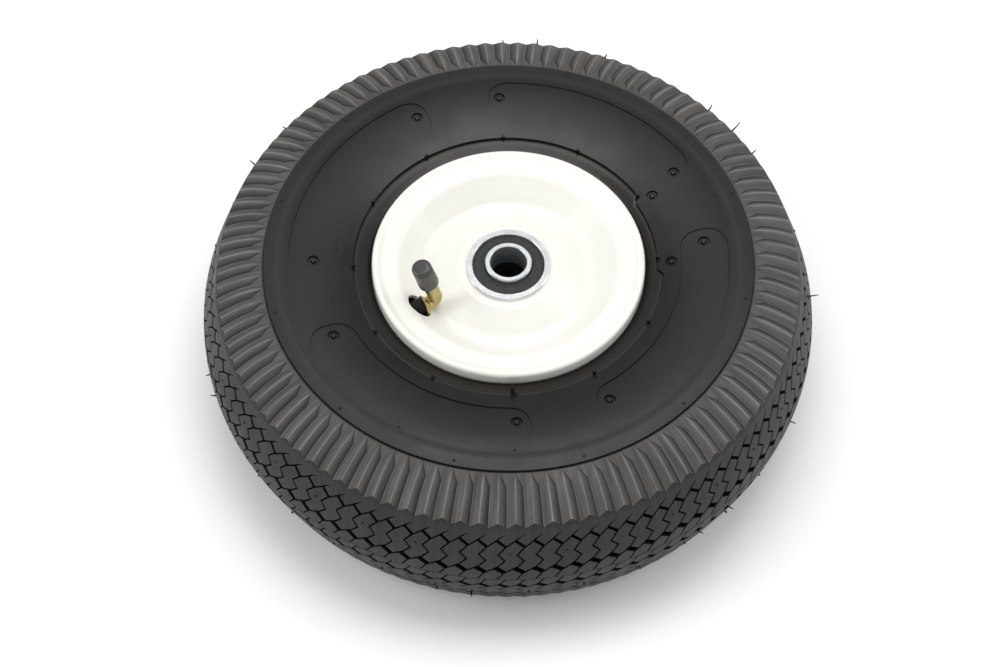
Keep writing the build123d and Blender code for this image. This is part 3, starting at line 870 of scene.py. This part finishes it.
MATS = {
    "tyre_rubber": mat_tyre(),
    "tube_rubber": mat_matt("tube_rubber", (0.012, 0.012, 0.012), (0.026, 0.026, 0.025), 0.5, 0.65, 40.0, 900.0),
    "rim_paint": mat_rim(),
    "bearing_steel": mat_steel("bearing_steel", (0.76, 0.765, 0.77), (0.80, 0.805, 0.81), 0.2, 0.24, True, 160.0),
    "ball_steel": mat_steel("ball_steel", (0.66, 0.66, 0.68), (0.76, 0.76, 0.77), 0.07, 0.14, False),
    "cage_nylon": mat_matt("cage_nylon", (0.50, 0.46, 0.36), (0.60, 0.56, 0.45), 0.4, 0.55, 80.0, 1200.0),
    "seal_rubber": mat_matt("seal_rubber", (0.006, 0.006, 0.006), (0.020, 0.020, 0.020), 0.34, 0.6, 420.0, 1500.0),
    "valve_brass": mat_steel("valve_brass", (0.42, 0.35, 0.15), (0.58, 0.49, 0.24), 0.22, 0.36, False),
    "spring_steel": mat_steel("spring_steel", (0.50, 0.50, 0.52), (0.62, 0.62, 0.63), 0.22, 0.34, False),
    "cap_plastic": mat_matt("cap_plastic", (0.034, 0.034, 0.032), (0.046, 0.046, 0.043), 0.24, 0.34, 150.0, 1400.0, 0.5),
}
# nodes whose material differs from the rest of their slot: their own finish, or darkened as painted shade
OWN = {
    # the neck's own black rubber, made darker still as painted shade in the valve hole
    "valve_neck": mat_matt("neck_rubber_and_shade", (0.004, 0.0035, 0.003), (0.012, 0.010, 0.008), 0.45, 0.65, 180.0, 1200.0, 0.2),
    "valve_stem": mat_stem(),
    "front_bearing_inner_ring": mat_steel("ring_plated", (0.50, 0.53, 0.54), (0.60, 0.62, 0.63), 0.26, 0.36, False, 900.0, 0.85),
    "back_bearing_inner_ring": mat_steel("ring_plated_back", (0.50, 0.53, 0.54), (0.60, 0.62, 0.63), 0.26, 0.36, False, 900.0, 0.85),
    # the hub tube's inside is painted near-black as the shade inside the closed hub, behind the bearings' bores
    "hub_tube": mat_matt("hub_inside_shade", (0.05, 0.048, 0.044), (0.11, 0.105, 0.095), 0.35, 0.55, 120.0, 900.0),
}

SLOT_OF = {s["node"]: s["material_slot"] for s in frame["record"]["subparts"]}
for name, obj in NODES.items():
    obj.data.materials.clear()
    obj.data.materials.append(OWN.get(name) or MATS[SLOT_OF[name]])
    for p in obj.data.polygons:
        p.material_index = 0

# ------------------------------------------------------------------ pieces
tyre = build_tyre()
tyre.data.materials.append(MATS["tyre_rubber"])
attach(tyre, "wheel")
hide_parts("tyre")

vents = build_vents()
vents.data.materials.append(MATS["tyre_rubber"])
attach(vents, "wheel")

# ------------------------------------------------------------------ floor and light
scene = bpy.context.scene
floor_mesh = bpy.data.meshes.new("floor")
FZ = BOX_BEFORE[0][2] - 0.0003
S = 6.0
floor_mesh.from_pydata([(-S, -S, FZ), (S, -S, FZ), (S, S, FZ), (-S, S, FZ)], [], [(0, 1, 2, 3)])
floor = bpy.data.objects.new("floor", floor_mesh)
scene.collection.objects.link(floor)
fm, fnt, fb, fco = new_material("floor")
fnt.links.new(ramp(fnt, noise(fnt, fco, 1.5, 2.0), [(0.3, (0.90, 0.90, 0.90)), (0.7, (0.93, 0.93, 0.93))]), fb.inputs["Base Color"])
fb.inputs["Roughness"].default_value = 0.85
fb.inputs["Specular IOR Level"].default_value = 0.1
floor_mesh.materials.append(fm)

world = bpy.data.worlds.new("studio")
world.use_nodes = True
bg = world.node_tree.nodes["Background"]
bg.inputs["Color"].default_value = (1.0, 1.0, 1.0, 1.0)
bg.inputs["Strength"].default_value = 0.6
scene.world = world


def area(name, at, target, sx, sy, power, color=(1, 1, 1)):
    light = bpy.data.lights.new(name, "AREA")
    light.shape = "RECTANGLE"
    light.size, light.size_y = sx, sy
    light.energy = power
    light.color = color
    o = bpy.data.objects.new(name, light)
    o.location = at
    o.rotation_euler = (Vector(target) - Vector(at)).to_track_quat("-Z", "Y").to_euler()
    scene.collection.objects.link(o)
    return o


area("overhead", (0.05, 0.22, 1.25), (0.0, 0.0, 0.0), 0.9, 0.7, 9.0)
area("front", (0.0, -1.5, 0.5), (0.0, 0.0, 0.03), 1.4, 0.6, 3.5)
area("left", (-1.3, -0.1, 0.9), (0.0, 0.0, 0.0), 0.9, 0.9, 7.0)
area("right", (1.3, 0.2, 0.8), (0.0, 0.0, 0.0), 0.7, 0.9, 5.0)

# ------------------------------------------------------------------ camera
FOCAL, PX, PY = 2700.0, 500.0, 333.5
EL, ROLL, DIST = math.radians(55.5987), math.radians(-0.6273), 1164.798
AIM = (508.4675, 259.9407)
CENTRE = np.array((0.0, 0.0, 39.325))
back = np.array((0.0, -math.cos(EL), math.sin(EL)))
eye = CENTRE + back * DIST
fwd = -back
x0 = np.array((1.0, 0.0, 0.0))
b0 = np.array([x0, np.cross(x0, fwd), fwd])
d = np.array(((AIM[0] - PX) / FOCAL, -(AIM[1] - PY) / FOCAL, 1.0))
d /= np.linalg.norm(d)
v = np.cross((0.0, 0.0, 1.0), d)
K = np.array([[0, -v[2], v[1]], [v[2], 0, -v[0]], [-v[1], v[0], 0]])
R = np.eye(3) + K + K @ K / (1 + d[2])
c, s = math.cos(ROLL), math.sin(ROLL)
Mrows = R @ np.array([[c, -s, 0], [s, c, 0], [0, 0, 1]]) @ b0
cam_data = bpy.data.cameras.new("camera")
cam_data.sensor_width = 36.0
cam_data.lens = FOCAL / 1000.0 * 36.0
cam_data.clip_start, cam_data.clip_end = 0.05, 30.0
cam = bpy.data.objects.new("camera", cam_data)
right, up, ahead = Mrows
cam.matrix_world = Matrix((
    (right[0], up[0], -ahead[0], eye[0] * MM),
    (right[1], up[1], -ahead[1], eye[1] * MM),
    (right[2], up[2], -ahead[2], eye[2] * MM),
    (0, 0, 0, 1)))
scene.collection.objects.link(cam)
scene.camera = cam

scene.view_settings.view_transform = "Standard"
scene.view_settings.look = "None"
